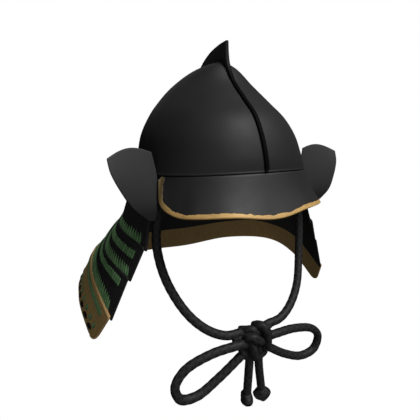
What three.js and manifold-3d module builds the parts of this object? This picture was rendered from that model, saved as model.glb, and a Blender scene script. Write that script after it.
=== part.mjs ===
/**
 * Kabuto: a samurai helmet with a peach-shaped bowl, a laced neck guard and a chin cord tied in a bow.
 *
 * Millimetres, +Z up. The brow faces -Y and the wearer's left is +X. The origin is the seat on the head:
 * under the point of the bowl, level with the brow edge. The hard pieces mirror each other across X = 0.
 */
import * as THREE from 'three';
import { mergeVertices } from 'three/addons/utils/BufferGeometryUtils.js';
import Module from 'manifold-3d';

const wasm = await Module();
wasm.setup();

// ---------------------------------------------------------------- driving dimensions

const GAP = 0.3; // clearance between neighbouring pieces

const BOWL_WALL = 2.5;
const BOWL_PLAN_POWER = 2.25; // a superellipse: 2 would be an ellipse, more is squarer
const BOWL_APEX_DEPTH = 6; // the hollow stops this far under the point
const BOWL_RINGS = 11;
const BOWL_SEGMENTS = 40;
const BASE_DROP = 6; // the lower edge is this much lower at the sides and nape than at the brow

// The bowl's level sections from the point down to the lower edge.
const BOWL_SECTIONS = [
  { z: 138, halfWidth: 0, front: 0, rear: 0 },
  { z: 128, halfWidth: 29.5, front: 12.5, rear: 54 },
  { z: 108, halfWidth: 56, front: 29, rear: 98 },
  { z: 84, halfWidth: 78, front: 57, rear: 127 },
  { z: 64, halfWidth: 93, front: 81, rear: 139 },
  { z: 42, halfWidth: 105.5, front: 96, rear: 141 },
  { z: 18, halfWidth: 112.5, front: 106, rear: 140 },
  { z: 0, halfWidth: 118, front: 110, rear: 136 },
];

const BAND_WALL = 1.8; // the base band inside the bowl's edge, which carries the visor and the neck guard
const BAND_TOP = 0.945; // where down the bowl the band begins: 0 is the point, 1 the lower edge
const BAND_BELOW = 12;
const BAND_LEAN = 1.5; // its lower edge leans inwards by this

const RIDGE_WIDTH = 4;
const RIDGE_HEIGHT = 2.4;
// The crown fin's front edge in the plane X = 0, from where it leaves the ridge up to its tip.
const FIN_FRONT = [
  { y: -30, z: 112 },
  { y: -22, z: 123 },
  { y: -16.5, z: 134 },
  { y: -14, z: 146 },
];
// The fin's upper edge, from its tip to where it meets the ridge again.
const FIN_EDGE = [
  { y: -13, z: 160 },
  { y: 10, z: 159 },
  { y: 38, z: 154 },
  { y: 64, z: 143 },
  { y: 90, z: 122 },
  { y: 106, z: 107 },
];

const VISOR_WALL = 2.5;
const VISOR_SEAM = 1.2; // the dark joint between the bowl's edge and the visor
const VISOR_DISH = 1.5; // how far the visor's face is hollowed between its two edges
const VISOR_EDGE_WIDTH = 5.7;
const VISOR_EDGE_WALL = 3;
const VISOR_COLUMNS = 30;
// Half of the visor, from the middle of the brow to the temple: where its rib leaves the bowl's edge, and its lip.
const VISOR_RIBS = [
  { rootX: 0, lipX: 0, lipY: -135, lipZ: -47.8 },
  { rootX: 44, lipX: 50, lipY: -128, lipZ: -42.8 },
  { rootX: 74, lipX: 86, lipY: -111, lipZ: -43.8 },
  { rootX: 88, lipX: 101, lipY: -94, lipZ: -45.3 },
  { rootX: 96, lipX: 110, lipY: -77, lipZ: -42 },
  { rootX: 101, lipX: 114, lipY: -64, lipZ: -35 },
  { rootX: 104, lipX: 112.5, lipY: -56, lipZ: -22 },
  { rootX: 105.5, lipX: 110, lipY: -51, lipZ: -9 },
];

const WING_WALL = 2.4;
const WING_ARCH = 7.5; // rise of the top edge between its corners
const WING_DISH = 4; // hollow of the front face
// The wearer's left wing from its top edge to its foot: the edge by the bowl and the free edge.
const WING_ROWS = [
  { innerX: 115, innerY: -42, innerZ: 22, outerX: 165.5, outerY: -56, outerZ: 17.5 },
  { innerX: 111, innerY: -45, innerZ: 0, outerX: 163.5, outerY: -62, outerZ: 3 },
  { innerX: 111, innerY: -51, innerZ: -20, outerX: 156, outerY: -67, outerZ: -15 },
  { innerX: 113, innerY: -60, innerZ: -40, outerX: 144, outerY: -71, outerZ: -36 },
  { innerX: 122, innerY: -67, innerZ: -53, outerX: 128, outerY: -69, outerZ: -52 },
];

const LAME_WALL = 2;
const LAME_LIFT = 2.9; // each lame's top edge stands this far outside the lame above it
const LAME_OVERLAP = 4; // hidden behind the top of the next one, at the open front
const LAME_SETBACK = 0.012; // how far each lame's upper corners step back, as a share of its half length
const LAME_COLUMNS = 36;
const CORNER_SETBACK = 0.07; // the rounding of the lowest lame's free corners
const GUARD_REACH = THREE.MathUtils.degToRad(112); // from the nape round the bowl's edge to the open front
// The lower edge of each lame from the top down. Each is half a hoop, from the nape to the open front.
const LAME_EDGES = [
  [
    { x: 0, y: 141, z: -55 },
    { x: 63, y: 133, z: -56 },
    { x: 97, y: 103, z: -61 },
    { x: 146, y: 24, z: -81 },
    { x: 131, y: -55.5, z: -93 },
  ],
  [
    { x: 0, y: 145, z: -94 },
    { x: 73, y: 139, z: -94 },
    { x: 123, y: 117, z: -94 },
    { x: 168, y: 30, z: -115 },
    { x: 151, y: -48.5, z: -131 },
  ],
  [
    { x: 0, y: 144, z: -138 },
    { x: 85, y: 139, z: -135 },
    { x: 160, y: 127, z: -139 },
    { x: 186, y: 48, z: -148 },
    { x: 176, y: -41.5, z: -182 },
  ],
  [
    { x: 0, y: 148, z: -176 },
    { x: 95, y: 144, z: -172 },
    { x: 189, y: 125, z: -184 },
    { x: 208, y: 66, z: -198 },
    { x: 198.5, y: -13, z: -228 },
  ],
];

const LACE_WALL = 1.2;
const LACE_GAP = 0.9; // clear of the lame's flat facets
// Bands of lacing: the lame they lie on, where they start and end down its height, and their reach to the front.
const LACE_BANDS = [
  { name: 'lace_1', lame: 1, top: 0.79, bottom: 0.91, reach: 0.945 },
  { name: 'lace_2_upper', lame: 2, top: 0.16, bottom: 0.41, reach: 0.95 },
  { name: 'lace_2_lower', lame: 2, top: 0.59, bottom: 0.88, reach: 0.955 },
  { name: 'lace_3_upper', lame: 3, top: 0.03, bottom: 0.26, reach: 0.95 },
  { name: 'lace_3_lower', lame: 3, top: 0.58, bottom: 0.9, reach: 0.95 },
  { name: 'lace_4', lame: 4, top: 0.09, bottom: 0.24, reach: 0.945 },
];

const CORD_RADIUS = 5.8;
const CORD_SIDES = 8;
// The chin cord's left half, from the anchor inside the bowl down to the knot.
const CHIN_ROUTE = [
  { x: 91, y: -37, z: 6 },
  { x: 95, y: -39, z: -14 },
  { x: 101, y: -41, z: -28 },
  { x: 110.5, y: -44, z: -54 },
  { x: 114.5, y: -45.5, z: -92 },
  { x: 107.5, y: -57, z: -136 },
  { x: 88.8, y: -78, z: -175.5 },
  { x: 66.5, y: -91, z: -198 },
  { x: 43.5, y: -98, z: -209 },
  { x: 20, y: -99, z: -211.5 },
  { x: 4, y: -101, z: -216 },
];
const CHIN_STEPS = 16;
const RIGHT_LOOP = [
  { x: -4, y: -107, z: -224 },
  { x: -28, y: -110, z: -219.5 },
  { x: -68, y: -105, z: -223 },
  { x: -103, y: -103, z: -235 },
  { x: -116.5, y: -105, z: -252 },
  { x: -110.5, y: -107, z: -270.5 },
  { x: -89, y: -108, z: -274 },
  { x: -58, y: -106, z: -262 },
  { x: -24, y: -106, z: -240 },
  { x: -6, y: -105, z: -230 },
];
const LEFT_LOOP = [
  { x: 4, y: -107, z: -223 },
  { x: 26, y: -110, z: -221 },
  { x: 62, y: -108, z: -225 },
  { x: 96, y: -108, z: -236 },
  { x: 110, y: -108, z: -253 },
  { x: 104, y: -108, z: -273 },
  { x: 80, y: -108, z: -277 },
  { x: 50, y: -107, z: -264 },
  { x: 22, y: -106, z: -244 },
  { x: 6, y: -105, z: -232 },
];
const LOOP_STEPS = 20;
const RIGHT_TAIL = [
  { x: -11, y: -107, z: -230 },
  { x: -13, y: -108, z: -262 },
  { x: -14.5, y: -108, z: -301 },
];
const LEFT_TAIL = [
  { x: 2.5, y: -106, z: -231 },
  { x: 3.5, y: -107, z: -262 },
  { x: 9, y: -108, z: -304 },
];
const TAIL_STEPS = 4;

const KNOT_CORE = { x: -4, y: -104, z: -226, halfWidth: 17, halfDepth: 8, halfHeight: 16 };
const KNOT_STRAND_STEPS = 8;
// The strands of the knot that lie over its core, each a short run of cord.
const KNOT_STRANDS = [
  // the turn that stands round the bundle on the wearer's left
  [
    { x: -1, y: -99, z: -206.5 },
    { x: 0, y: -107, z: -201 },
    { x: 4, y: -112.5, z: -201 },
    { x: 8.5, y: -115.5, z: -208.5 },
    { x: 10.5, y: -115, z: -219.5 },
    { x: 11.5, y: -112, z: -231.5 },
    { x: 9, y: -103, z: -241 },
  ],
  // the turn that crosses the middle
  [
    { x: -15, y: -97, z: -216 },
    { x: -18, y: -105, z: -216.5 },
    { x: -18, y: -111.5, z: -211 },
    { x: -13, y: -116, z: -210 },
    { x: -5, y: -116, z: -217.5 },
    { x: 5, y: -110, z: -224 },
  ],
  // the strand that drops in front
  [
    { x: -12, y: -108, z: -217 },
    { x: -12, y: -113.5, z: -222 },
    { x: -11.5, y: -114.5, z: -230 },
    { x: -9, y: -112, z: -240 },
    { x: -7, y: -106, z: -249 },
  ],
  // the turn that closes the knot from below
  [
    { x: -23, y: -103, z: -229 },
    { x: -21, y: -107, z: -237.5 },
    { x: -11, y: -106, z: -247 },
    { x: 3, y: -106, z: -249 },
    { x: 11, y: -106, z: -246 },
    { x: 15, y: -103, z: -239 },
  ],
];

// The knots that finish the hanging ends, from the cord down: flat diamonds that end in an edge, each turned
// about its cord by its own angle.
const TAIL_KNOT = [
  { down: 0, halfWidth: 6, halfDepth: 6 },
  { down: 10, halfWidth: 12.5, halfDepth: 8 },
  { down: 21, halfWidth: 3, halfDepth: 7 },
];
const RIGHT_KNOT_TURN = THREE.MathUtils.degToRad(75);
const LEFT_KNOT_TURN = THREE.MathUtils.degToRad(-20);

const ANCHOR = { tabWidth: 14, tabHeight: 20, tabWall: 2, collarRadius: 7, collarHeight: 9 };

// ---------------------------------------------------------------- finishes

const finishes = {
  blackLacquer: new THREE.MeshStandardMaterial({ color: '#1b1b1b', roughness: 0.42, metalness: 0.1 }),
  blackIron: new THREE.MeshStandardMaterial({ color: '#0b0b0b', roughness: 0.5, metalness: 0.2 }),
  gilt: new THREE.MeshStandardMaterial({ color: '#b98a45', roughness: 0.45, metalness: 0.6 }),
  lameBlack: new THREE.MeshStandardMaterial({ color: '#111111', roughness: 0.55, metalness: 0 }),
  lameGold: new THREE.MeshStandardMaterial({ color: '#5a4523', roughness: 0.5, metalness: 0.3 }),
  greenLace: new THREE.MeshStandardMaterial({ color: '#2f4a2e', roughness: 0.85, metalness: 0 }),
  cord: new THREE.MeshStandardMaterial({ color: '#2a2a2a', roughness: 0.8, metalness: 0 }),
};

// ---------------------------------------------------------------- shape helpers

/** Reads a table from t = 0 (its first row) to t = 1 (its last), smoothly in every column. */
function smoothRow(rows, t) {
  const place = THREE.MathUtils.clamp(t, 0, 1) * (rows.length - 1);
  const index = Math.min(Math.floor(place), rows.length - 2);
  const part = place - index;
  const result = {};
  for (const key of Object.keys(rows[0])) {
    const value = (k) => rows[THREE.MathUtils.clamp(index + k, 0, rows.length - 1)][key];
    const startSlope = (value(1) - value(-1)) / 2;
    const endSlope = (value(2) - value(0)) / 2;
    const rise = value(1) - value(0);
    const square = 3 * rise - 2 * startSlope - endSlope;
    const cube = startSlope + endSlope - 2 * rise;
    result[key] = value(0) + part * (startSlope + part * (square + part * cube));
  }
  return result;
}

/** Joins a half table, from its middle row outwards, to its mirror image: the named columns change sign. */
function mirrored(rows, oddColumns) {
  const flip = (row) => {
    const other = { ...row };
    for (const column of oddColumns) {
      other[column] = -row[column];
    }
    return other;
  };
  return [...rows.slice(1).reverse().map(flip), ...rows];
}

/** Reads evenly spaced v in 0..1 as the matching place among uneven stops. */
function atStops(stops, v) {
  const place = v * (stops.length - 1);
  const index = THREE.MathUtils.clamp(Math.floor(place), 0, stops.length - 2);
  return THREE.MathUtils.lerp(stops[index], stops[index + 1], place - index);
}

/** The outward normal of surface(u, v), where u runs to the right and v down as seen from outside. */
function outwardNormal(surface, u, v) {
  const step = 2e-3;
  const across = surface(u + step, v).sub(surface(u - step, v));
  const down = surface(u, v + step).sub(surface(u, v - step));
  return down.cross(across).normalize();
}

/** Moves every vertex of a geometry through a function, and drops what the move makes untrue. */
function reshape(geometry, move) {
  const position = geometry.attributes.position;
  const vertex = new THREE.Vector3();
  for (let i = 0; i < position.count; i += 1) {
    vertex.fromBufferAttribute(position, i);
    const moved = move(vertex);
    position.setXYZ(i, moved.x, moved.y, moved.z);
  }
  geometry.deleteAttribute('uv');
  geometry.computeVertexNormals();
  return geometry;
}

/** A plate of even thickness whose outer face is surface(u, v) for u and v in 0..1. */
function plate(surface, columns, rows, thickness) {
  return reshape(new THREE.BoxGeometry(1, 1, 1, columns, rows, 1), (vertex) => {
    const u = vertex.x + 0.5;
    const v = 0.5 - vertex.y;
    const depth = (0.5 - vertex.z) * thickness;
    return surface(u, v).addScaledVector(outwardNormal(surface, u, v), -depth);
  });
}

function vectors(rows) {
  return rows.map((row) => new THREE.Vector3(row.x, row.y, row.z));
}

function circle(radius, sides) {
  const points = [];
  for (let i = 0; i < sides; i += 1) {
    const angle = (2 * Math.PI * i) / sides;
    points.push(new THREE.Vector2(radius * Math.cos(angle), radius * Math.sin(angle)));
  }
  return new THREE.Shape(points);
}

/** A round cord along a smooth curve through the route's points. */
function cordAlong(route, steps, radius = CORD_RADIUS) {
  const extrudePath = new THREE.CatmullRomCurve3(vectors(route), false, 'centripetal');
  return new THREE.ExtrudeGeometry(circle(radius, CORD_SIDES), { steps, extrudePath });
}

/** A closed geometry as a solid that can be joined and cut. */
function solid(geometry) {
  const bare = geometry.clone();
  bare.deleteAttribute('normal');
  bare.deleteAttribute('uv');
  const merged = mergeVertices(bare, 1e-4);
  const mesh = new wasm.Mesh({
    numProp: 3,
    vertProperties: merged.attributes.position.array,
    triVerts: Uint32Array.from(merged.index.array),
  });
  return new wasm.Manifold(mesh);
}

function geometryOf(manifold) {
  const mesh = manifold.getMesh();
  const geometry = new THREE.BufferGeometry();
  geometry.setAttribute('position', new THREE.BufferAttribute(new Float32Array(mesh.vertProperties), 3));
  geometry.setIndex(new THREE.BufferAttribute(new Uint32Array(mesh.triVerts), 1));
  return geometry;
}

// ---------------------------------------------------------------- the bowl

function signedPower(value, power) {
  return Math.sign(value) * Math.abs(value) ** power;
}

/** The bowl's outer face: t runs from the point (0) to the lower edge (1), the angle from the brow towards +X. */
function bowlPoint(t, angle) {
  const section = smoothRow(BOWL_SECTIONS, t);
  const power = 2 / BOWL_PLAN_POWER;
  const centre = (section.rear - section.front) / 2;
  const depth = (section.rear + section.front) / 2;
  const fore = Math.cos(angle);
  const drop = BASE_DROP * Math.max(t, 0) ** 3 * (1 - Math.max(fore, 0) ** 2);
  return new THREE.Vector3(
    section.halfWidth * signedPower(Math.sin(angle), power),
    centre - depth * signedPower(fore, power),
    section.z - drop,
  );
}

/** A point of the bowl's wall at a depth behind its outer face. */
function bowlWallPoint(t, angle, depth) {
  if (t < 1e-6) {
    return new THREE.Vector3(0, 0, BOWL_SECTIONS[0].z - (depth * BOWL_APEX_DEPTH) / BOWL_WALL);
  }
  const surface = (u, v) => bowlPoint(v, u);
  return bowlPoint(t, angle).addScaledVector(outwardNormal(surface, angle, t), -depth);
}

function makeBowl() {
  const profile = [];
  for (let ring = 0; ring <= BOWL_RINGS; ring += 1) {
    profile.push(new THREE.Vector2(ring / BOWL_RINGS, 0));
  }
  for (let ring = BOWL_RINGS; ring >= 0; ring -= 1) {
    profile.push(new THREE.Vector2(ring / BOWL_RINGS, 1));
  }
  return reshape(new THREE.LatheGeometry(profile, BOWL_SEGMENTS), (vertex) => {
    const angle = Math.atan2(vertex.x, vertex.z);
    return bowlWallPoint(Math.hypot(vertex.x, vertex.z), angle, (1 - vertex.y) * BOWL_WALL);
  });
}

/** The bowl's edge at an angle, moved level outwards and down. */
function rimPoint(angle, outwards, down) {
  const edge = bowlPoint(1, angle);
  const step = 1e-3;
  const along = bowlPoint(1, angle + step).sub(bowlPoint(1, angle - step));
  const outward = new THREE.Vector3(along.y, -along.x, 0).normalize();
  return edge.addScaledVector(outward, outwards).add(new THREE.Vector3(0, 0, -down));
}

/** The band inside the bowl's edge: its upper half follows the wall and its lower half hangs below the edge. */
function makeBaseBand() {
  const behind = BOWL_WALL + 2 * GAP;
  const profile = [
    new THREE.Vector2(1, 0),
    new THREE.Vector2(2, 0),
    new THREE.Vector2(2, 1),
    new THREE.Vector2(1, 1),
    new THREE.Vector2(1, 0),
  ];
  return reshape(new THREE.LatheGeometry(profile, BOWL_SEGMENTS), (vertex) => {
    const angle = Math.atan2(vertex.x, vertex.z);
    const depth = behind + (2 - Math.hypot(vertex.x, vertex.z)) * BAND_WALL;
    return vertex.y > 0.5
      ? bowlWallPoint(BAND_TOP, angle, depth)
      : rimPoint(angle, -depth - BAND_LEAN, BAND_BELOW);
  });
}

/** The bowl's outline in the plane X = 0 from the brow over the point to the nape, as (y, z). */
function bowlProfile() {
  const points = [];
  for (let ring = BOWL_RINGS; ring > 0; ring -= 1) {
    const point = bowlPoint(ring / BOWL_RINGS, 0);
    points.push(new THREE.Vector2(point.y, point.z));
  }
  points.push(new THREE.Vector2(0, BOWL_SECTIONS[0].z));
  for (let ring = 1; ring <= BOWL_RINGS; ring += 1) {
    const point = bowlPoint(ring / BOWL_RINGS, Math.PI);
    points.push(new THREE.Vector2(point.y, point.z));
  }
  return points;
}

/** Moves a profile outwards by a distance along the normals between its neighbours. */
function offsetProfile(points, distance) {
  return points.map((point, i) => {
    const before = points[Math.max(i - 1, 0)];
    const after = points[Math.min(i + 1, points.length - 1)];
    const along = after.clone().sub(before).normalize();
    return new THREE.Vector2(point.x - along.y * distance, point.y + along.x * distance);
  });
}

/** The median ridge: a thin upright plate that follows the bowl and rises into the crown fin. */
function makeRidgeFin() {
  const profile = bowlProfile();
  const foot = offsetProfile(profile, GAP + 0.2);
  const top = offsetProfile(profile, GAP + 0.2 + RIDGE_HEIGHT);
  const finStart = FIN_FRONT[0].y;
  const finEnd = FIN_EDGE[FIN_EDGE.length - 1].y;
  const finCurve = new THREE.SplineCurve(FIN_EDGE.map((row) => new THREE.Vector2(row.y, row.z)));
  const outline = [
    ...top.filter((point) => point.x < finStart),
    ...FIN_FRONT.map((row) => new THREE.Vector2(row.y, row.z)),
    ...finCurve.getPoints(12),
    ...top.filter((point, i) => i > BOWL_RINGS && point.x > finEnd + 1),
    ...foot.reverse(),
  ];
  const geometry = new THREE.ExtrudeGeometry(new THREE.Shape(outline), {
    depth: RIDGE_WIDTH,
    bevelEnabled: false,
    curveSegments: 1,
  });
  // The outline's (y, z) becomes the plane X = 0, and its thickness runs along X.
  return reshape(geometry, (v) => new THREE.Vector3(v.z - RIDGE_WIDTH / 2, v.x, v.y));
}

// ---------------------------------------------------------------- the visor

const visorRibs = mirrored(VISOR_RIBS, ['rootX', 'lipX']);

/** The angle round the bowl's edge at which it reaches X, in front. */
function brimAngle(x) {
  const halfWidth = BOWL_SECTIONS[BOWL_SECTIONS.length - 1].halfWidth;
  return Math.asin(signedPower(x / halfWidth, BOWL_PLAN_POWER / 2));
}

/** The visor's outer face: u from the wearer's right to the left, v from the bowl's edge to the lip. */
function visorPoint(u, v) {
  const rib = smoothRow(visorRibs, u);
  const root = rimPoint(brimAngle(rib.rootX), 0, VISOR_SEAM);
  const lip = new THREE.Vector3(rib.lipX, rib.lipY, rib.lipZ);
  const length = root.distanceTo(lip);
  const fullLength = 50;
  const hollow = VISOR_DISH * Math.sin(Math.PI * v) * Math.min(length / fullLength, 1);
  const inward = new THREE.Vector3(-rib.lipX, -rib.lipY, 0).normalize();
  return root.lerp(lip, v).addScaledVector(inward, hollow);
}

/** Where, down a rib, the gilt edge begins. */
function visorEdgeStart(u) {
  const length = visorPoint(u, 0).distanceTo(visorPoint(u, 1));
  return Math.max(1 - VISOR_EDGE_WIDTH / length, 0.02);
}

function makeVisor() {
  const surface = (u, v) => {
    const length = visorPoint(u, 0).distanceTo(visorPoint(u, 1));
    return visorPoint(u, v * (visorEdgeStart(u) - GAP / length));
  };
  return plate(surface, VISOR_COLUMNS, 3, VISOR_WALL);
}

function makeVisorEdge() {
  const raised = (VISOR_EDGE_WALL - VISOR_WALL) / 2;
  const surface = (u, v) => {
    const start = visorEdgeStart(u);
    const point = visorPoint(u, THREE.MathUtils.lerp(start, 1, v));
    return point.addScaledVector(outwardNormal(visorPoint, u, 0.9), raised);
  };
  return plate(surface, VISOR_COLUMNS, 1, VISOR_EDGE_WALL);
}

// ---------------------------------------------------------------- the wings

function wingPoint(u, v) {
  const row = smoothRow(WING_ROWS, v);
  const inner = new THREE.Vector3(row.innerX, row.innerY, row.innerZ);
  const outer = new THREE.Vector3(row.outerX, row.outerY, row.outerZ);
  const middle = Math.sin(Math.PI * THREE.MathUtils.clamp(u, 0, 1));
  const point = inner.lerp(outer, u);
  point.z += WING_ARCH * middle * (1 - v) ** 3;
  point.y += WING_DISH * middle * (1 - v);
  return point;
}

/** One wing. The right one is the left one's mirror image, with u reversed so that it still faces the brow. */
function makeWing(side) {
  const surface = (u, v) => {
    const point = wingPoint(side > 0 ? u : 1 - u, v);
    point.x *= side;
    return point;
  };
  return plate(surface, 8, 7, WING_WALL);
}

// ---------------------------------------------------------------- the neck guard

const lameEdges = LAME_EDGES.map((edge) => mirrored(edge, ['x']));
const LAME_COUNT = LAME_EDGES.length;

/** The hoop `level` lames down from the bowl: u runs from the left front end round the nape to the right. */
function guardEdge(level, u) {
  if (level === 0) {
    return rimPoint(Math.PI + (2 * u - 1) * GUARD_REACH, 0, VISOR_SEAM);
  }
  const row = smoothRow(lameEdges[level - 1], 1 - u);
  return new THREE.Vector3(row.x, row.y, row.z);
}

/** The guard's master face: v counts lames from the bowl. */
function guardPoint(u, v) {
  const level = THREE.MathUtils.clamp(Math.floor(v), 0, LAME_COUNT - 1);
  return guardEdge(level, u).lerp(guardEdge(level + 1, u), v - level);
}

/** The outward normal of one lame's part of the master face, the same all the way down it. */
function lameNormal(lame, u) {
  return outwardNormal(guardPoint, u, lame - 0.5);
}

/** The share of the lame above that a lame's top edge covers. */
function overlapShare(lame) {
  if (lame === 1) {
    return 0;
  }
  const frontHeight = guardEdge(lame - 2, 0).distanceTo(guardEdge(lame - 1, 0));
  return LAME_OVERLAP / frontHeight;
}

/** How far a lame's ends step back from the open front, at v lames down from the bowl. */
function endSetback(lame, v) {
  const part = THREE.MathUtils.clamp(v - (lame - 1), 0, 1);
  const step = lame > 1 ? LAME_SETBACK * (1 - part) : 0;
  const cornerStart = 0.6;
  const turn = Math.max(part - cornerStart, 0) / (1 - cornerStart);
  const corner = lame === LAME_COUNT ? CORNER_SETBACK * (1 - Math.sqrt(1 - turn * turn)) : 0;
  return step + corner;
}

/** A lame's outer face: `across` in -1..1 between its ends, v counts lames from the bowl, lifted off the face. */
function lamePoint(lame, across, v, lift = 0) {
  const u = 0.5 + (across * (1 - endSetback(lame, v))) / 2;
  const slope = lame > 1 ? LAME_LIFT * ((lame - v) / (1 + overlapShare(lame))) : 0;
  return guardPoint(u, v).addScaledVector(lameNormal(lame, u), slope + lift);
}

/** A plate on a lame, between two depths behind its outer face. */
function lamePlate(lame, reach, stops, outerLift, thickness) {
  const columns = LAME_COLUMNS;
  const rows = stops.length - 1;
  return reshape(new THREE.BoxGeometry(1, 1, 1, columns, rows, 1), (vertex) => {
    const lift = outerLift - (0.5 - vertex.z) * thickness;
    return lamePoint(lame, 2 * vertex.x * reach, atStops(stops, 0.5 - vertex.y), lift);
  });
}

function makeLame(lame) {
  const above = lame - 1;
  const stops = lame > 1 ? [above - overlapShare(lame), above] : [above];
  stops.push(lame - 0.5);
  if (lame === LAME_COUNT) {
    stops.push(lame - 0.2, lame - 0.06);
  }
  stops.push(lame);
  return lamePlate(lame, 1, stops, 0, LAME_WALL);
}

function makeLace(band) {
  const stops = [band.lame - 1 + band.top, band.lame - 1 + band.bottom];
  return lamePlate(band.lame, band.reach, stops, LACE_GAP + LACE_WALL, LACE_WALL);
}

// ---------------------------------------------------------------- the chin cord

function knotSolid(extraRadius) {
  const core = new THREE.SphereGeometry(1, 12, 8);
  core.scale(
    KNOT_CORE.halfWidth + extraRadius,
    KNOT_CORE.halfDepth + extraRadius,
    KNOT_CORE.halfHeight + extraRadius,
  );
  core.translate(KNOT_CORE.x, KNOT_CORE.y, KNOT_CORE.z);
  let knot = solid(core);
  for (const strand of KNOT_STRANDS) {
    knot = knot.add(solid(cordAlong(strand, KNOT_STRAND_STEPS, CORD_RADIUS + extraRadius)));
  }
  return knot;
}

/** A cord's geometry with the knot and its clearance cut out of it: only the largest piece is kept. */
function outsideKnot(geometry) {
  const pieces = solid(geometry).subtract(knotSolid(GAP)).decompose();
  pieces.sort((a, b) => b.volume() - a.volume());
  return geometryOf(pieces[0]);
}

function mirroredRoute(route) {
  return route.map((row) => ({ ...row, x: -row.x }));
}

/** The knot that finishes a hanging end, in line with the cord and turned about it. */
function makeTailKnot(route, turn) {
  const [before, end] = vectors(route).slice(-2);
  const along = end.clone().sub(before).normalize();
  const rows = TAIL_KNOT.length - 1;
  const geometry = reshape(new THREE.CylinderGeometry(1, 1, 1, CORD_SIDES, rows), (vertex) => {
    const row = TAIL_KNOT[Math.round((0.5 - vertex.y) * rows)];
    return new THREE.Vector3(vertex.x * row.halfWidth, -2 * GAP - row.down, vertex.z * row.halfDepth);
  });
  geometry.rotateY(turn);
  geometry.applyQuaternion(new THREE.Quaternion().setFromUnitVectors(new THREE.Vector3(0, -1, 0), along));
  geometry.translate(end.x, end.y, end.z);
  return geometry;
}

/** The hidden holder of one end of the chin cord: a tab on the bowl's wall with a collar under it. */
function makeAnchor(side) {
  const [end, next] = vectors(CHIN_ROUTE);
  const up = end.clone().sub(next).normalize();
  const collar = new THREE.CylinderGeometry(
    ANCHOR.collarRadius,
    ANCHOR.collarRadius,
    ANCHOR.collarHeight,
    12,
  );
  collar.translate(0, ANCHOR.collarHeight / 2 + GAP, 0);
  const tab = new THREE.BoxGeometry(ANCHOR.tabWidth, ANCHOR.tabHeight, ANCHOR.tabWall);
  tab.translate(0, ANCHOR.tabHeight / 2 + GAP, ANCHOR.collarRadius - ANCHOR.tabWall);
  const joined = geometryOf(solid(collar).add(solid(tab)));
  const outward = new THREE.Vector3(1, 0, 0).addScaledVector(up, -up.x).normalize();
  const frame = new THREE.Matrix4().makeBasis(up.clone().cross(outward), up, outward);
  joined.applyMatrix4(frame.setPosition(end));
  if (side < 0) {
    joined.scale(-1, 1, 1);
    const order = joined.index;
    for (let i = 0; i < order.count; i += 3) {
      const [second, third] = [order.getX(i + 1), order.getX(i + 2)];
      order.setX(i + 1, third);
      order.setX(i + 2, second);
    }
  }
  return joined;
}

// ---------------------------------------------------------------- the assembly

const helmet = new THREE.Group();

function addPiece(name, geometry, material) {
  const mesh = new THREE.Mesh(geometry, material);
  mesh.name = name;
  helmet.add(mesh);
}

addPiece('bowl', makeBowl(), finishes.blackLacquer);
addPiece('base_band', makeBaseBand(), finishes.blackIron);
addPiece('ridge_fin', makeRidgeFin(), finishes.blackIron);
addPiece('visor', makeVisor(), finishes.blackLacquer);
addPiece('visor_edge', makeVisorEdge(), finishes.gilt);
addPiece('wing_right', makeWing(-1), finishes.blackLacquer);
addPiece('wing_left', makeWing(1), finishes.blackLacquer);

for (let lame = 1; lame <= LAME_COUNT; lame += 1) {
  addPiece(`lame_${lame}`, makeLame(lame), lame === LAME_COUNT ? finishes.lameGold : finishes.lameBlack);
}
for (const band of LACE_BANDS) {
  addPiece(band.name, makeLace(band), finishes.greenLace);
}

addPiece('cord_anchor_right', makeAnchor(-1), finishes.blackIron);
addPiece('cord_anchor_left', makeAnchor(1), finishes.blackIron);
addPiece('chin_cord_right', outsideKnot(cordAlong(mirroredRoute(CHIN_ROUTE), CHIN_STEPS)), finishes.cord);
addPiece('chin_cord_left', outsideKnot(cordAlong(CHIN_ROUTE, CHIN_STEPS)), finishes.cord);
addPiece('bow_knot', geometryOf(knotSolid(0)), finishes.cord);
addPiece('bow_loop_right', outsideKnot(cordAlong(RIGHT_LOOP, LOOP_STEPS)), finishes.cord);
addPiece('bow_loop_left', outsideKnot(cordAlong(LEFT_LOOP, LOOP_STEPS)), finishes.cord);
addPiece('bow_tail_right', outsideKnot(cordAlong(RIGHT_TAIL, TAIL_STEPS)), finishes.cord);
addPiece('bow_tail_left', outsideKnot(cordAlong(LEFT_TAIL, TAIL_STEPS)), finishes.cord);
addPiece('tail_knot_right', makeTailKnot(RIGHT_TAIL, RIGHT_KNOT_TURN), finishes.cord);
addPiece('tail_knot_left', makeTailKnot(LEFT_TAIL, LEFT_KNOT_TURN), finishes.cord);

export default helmet;
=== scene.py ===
"""The looks of the kabuto: smooth lacquered shells, laced lames, a gilt visor edge and braided cords."""
import math

import bpy
import numpy as np
from mathutils import Matrix, Vector


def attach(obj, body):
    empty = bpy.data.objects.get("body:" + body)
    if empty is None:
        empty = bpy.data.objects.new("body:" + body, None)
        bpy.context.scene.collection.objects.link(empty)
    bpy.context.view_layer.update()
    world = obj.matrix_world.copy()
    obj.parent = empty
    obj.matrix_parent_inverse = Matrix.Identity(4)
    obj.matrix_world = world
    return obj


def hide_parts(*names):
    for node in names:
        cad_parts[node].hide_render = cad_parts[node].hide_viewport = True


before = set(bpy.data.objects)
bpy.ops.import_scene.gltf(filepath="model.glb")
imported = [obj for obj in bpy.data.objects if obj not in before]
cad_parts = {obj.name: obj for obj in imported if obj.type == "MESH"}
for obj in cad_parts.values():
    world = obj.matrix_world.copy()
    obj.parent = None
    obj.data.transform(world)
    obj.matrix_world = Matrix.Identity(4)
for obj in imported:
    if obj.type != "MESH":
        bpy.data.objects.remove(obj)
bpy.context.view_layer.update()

MM = 0.001  # the tables below are in millimetres, as in the part's source
rng = np.random.default_rng(7)

# ---------------- camera


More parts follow.
